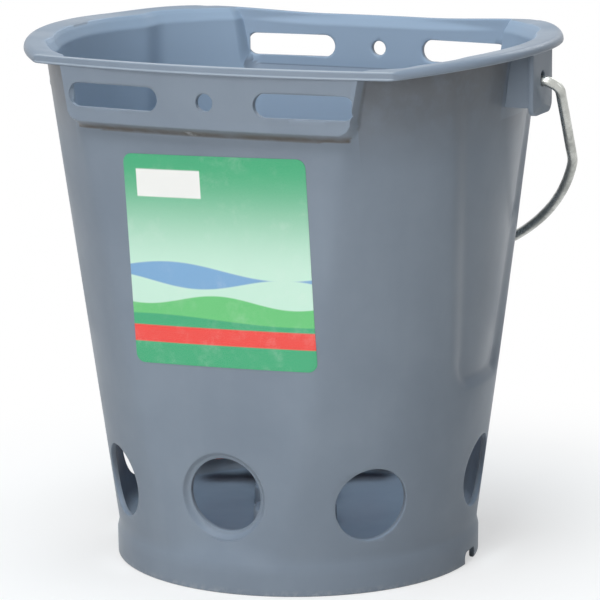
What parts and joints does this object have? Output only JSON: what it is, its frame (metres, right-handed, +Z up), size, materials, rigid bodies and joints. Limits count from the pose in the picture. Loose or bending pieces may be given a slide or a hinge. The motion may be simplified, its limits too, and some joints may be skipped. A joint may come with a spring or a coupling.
{
  "type": "multi teat lamb feeder",
  "caption": "Tapered plastic feeding bucket with round teat holes low down, slotted hanging bands, a printed label, a wire bail and loose screw-in teat sets.",
  "frame": {"origin": "centre of the foot ring's lower face, on the bucket's axis", "axes": "+Z up; the labelled front face looks along -Y; the bail is hinged along X"},
  "size_m": [0.3074, 0.241, 0.2891],
  "materials": {
    "bucket_plastic": "satin blue-grey polypropylene",
    "label_film": "printed film",
    "galvanised_wire": "galvanised",
    "valve_plastic": "satin blue-grey polypropylene",
    "nut_plastic": "fine texture",
    "black_rubber": "matt",
    "red_rubber": "soft satin"
  },
  "bodies": {
    "bucket": {"bucket": "bucket_plastic", "label": "label_film"},
    "bail": {"bail": "galvanised_wire"},
    "set_a": {"valve_body_a": "valve_plastic", "washer_a": "black_rubber"},
    "teat_a": {"teat_a": "red_rubber"},
    "nut_a": {"ring_nut_a": "nut_plastic"},
    "valve_a": {"check_valve_a": "black_rubber"},
    "set_b": {"valve_body_b": "valve_plastic", "washer_b": "black_rubber"},
    "teat_b": {"teat_b": "red_rubber"},
    "nut_b": {"ring_nut_b": "nut_plastic"},
    "valve_b": {"check_valve_b": "black_rubber"},
    "set_c": {"valve_body_c": "valve_plastic", "washer_c": "black_rubber"},
    "teat_c": {"teat_c": "red_rubber"},
    "nut_c": {"ring_nut_c": "nut_plastic"},
    "valve_c": {"check_valve_c": "black_rubber"},
    "set_d": {"valve_body_d": "valve_plastic", "washer_d": "black_rubber"},
    "teat_d": {"teat_d": "red_rubber"},
    "nut_d": {"ring_nut_d": "nut_plastic"},
    "valve_d": {"check_valve_d": "black_rubber"},
    "set_e": {"valve_body_e": "valve_plastic", "washer_e": "black_rubber"},
    "teat_e": {"teat_e": "red_rubber"},
    "nut_e": {"ring_nut_e": "nut_plastic"},
    "valve_e": {"check_valve_e": "black_rubber"}
  },
  "joints": [
    {"name": "bail_swing", "type": "hinge", "parent": "bucket", "child": "bail", "pos_m": [0, 0, 0.269], "axis": [1, 0, 0], "range_deg": [0, 274.6]},
    {"name": "lift_out_a", "type": "slide", "parent": "bucket", "child": "set_a", "axis": [0, 0, 1], "range_m": [0, 0.3]},
    {"name": "valve_lift_a", "type": "slide", "parent": "set_a", "child": "valve_a", "axis": [0, 0, 1], "range_m": [0, 0.002]},
    {"name": "teat_off_a", "type": "slide", "parent": "set_a", "child": "teat_a", "axis": [0, 0, 1], "range_m": [0, 0.006]},
    {"name": "nut_turn_a", "type": "hinge", "parent": "teat_a", "child": "nut_a", "pos_m": [0.02791, -0.06638, 0.02155], "axis": [0, 0, 1], "range_deg": [0, 720]},
    {"name": "lift_out_b", "type": "slide", "parent": "bucket", "child": "set_b", "axis": [0, 0, 1], "range_m": [0, 0.3]},
    {"name": "valve_lift_b", "type": "slide", "parent": "set_b", "child": "valve_b", "axis": [0, 0, 1], "range_m": [0, 0.002]},
    {"name": "teat_off_b", "type": "slide", "parent": "set_b", "child": "teat_b", "axis": [0, 0, 1], "range_m": [0, 0.006]},
    {"name": "nut_turn_b", "type": "hinge", "parent": "teat_b", "child": "nut_b", "pos_m": [0.0092, -0.02436, 0.02155], "axis": [0, 0, 1], "range_deg": [0, 720]},
    {"name": "lift_out_c", "type": "slide", "parent": "bucket", "child": "set_c", "axis": [0, 0, 1], "range_m": [0, 0.3]},
    {"name": "valve_lift_c", "type": "slide", "parent": "set_c", "child": "valve_c", "axis": [0, 0, 1], "range_m": [0, 0.002]},
    {"name": "teat_off_c", "type": "slide", "parent": "set_c", "child": "teat_c", "axis": [0, 0, 1], "range_m": [0, 0.006]},
    {"name": "nut_turn_c", "type": "hinge", "parent": "teat_c", "child": "nut_c", "pos_m": [-0.0095, 0.01766, 0.02155], "axis": [0, 0, 1], "range_deg": [0, 720]},
    {"name": "lift_out_d", "type": "slide", "parent": "bucket", "child": "set_d", "axis": [0, 0, 1], "range_m": [0, 0.3]},
    {"name": "valve_lift_d", "type": "slide", "parent": "set_d", "child": "valve_d", "axis": [-0.9135, -0.4067, 0], "range_m": [0, 0.002]},
    {"name": "teat_off_d", "type": "slide", "parent": "set_d", "child": "teat_d", "axis": [-0.9135, -0.4067, 0], "range_m": [0, 0.006]},
    {"name": "nut_turn_d", "type": "hinge", "parent": "teat_d", "child": "nut_d", "pos_m": [-0.02931, 0.0592, 0.04395], "axis": [-0.9135, -0.4067, 0], "range_deg": [0, 720]},
    {"name": "lift_out_e", "type": "slide", "parent": "bucket", "child": "set_e", "axis": [0, 0, 1], "range_m": [0, 0.3]},
    {"name": "valve_lift_e", "type": "slide", "parent": "set_e", "child": "valve_e", "axis": [0.9135, 0.4067, 0], "range_m": [0, 0.002]},
    {"name": "teat_off_e", "type": "slide", "parent": "set_e", "child": "teat_e", "axis": [0.9135, 0.4067, 0], "range_m": [0, 0.006]},
    {"name": "nut_turn_e", "type": "hinge", "parent": "teat_e", "child": "nut_e", "pos_m": [-0.02712, 0.06017, 0.04395], "axis": [0.9135, 0.4067, 0], "range_deg": [0, 720]}
  ],
  "couplings": [
    {"joint": "teat_off_a", "follows": "nut_turn_a", "m_per_rad": 0.00047742},
    {"joint": "teat_off_b", "follows": "nut_turn_b", "m_per_rad": 0.00047742},
    {"joint": "teat_off_c", "follows": "nut_turn_c", "m_per_rad": 0.00047742},
    {"joint": "teat_off_d", "follows": "nut_turn_d", "m_per_rad": 0.00047742},
    {"joint": "teat_off_e", "follows": "nut_turn_e", "m_per_rad": 0.00047742}
  ]
}
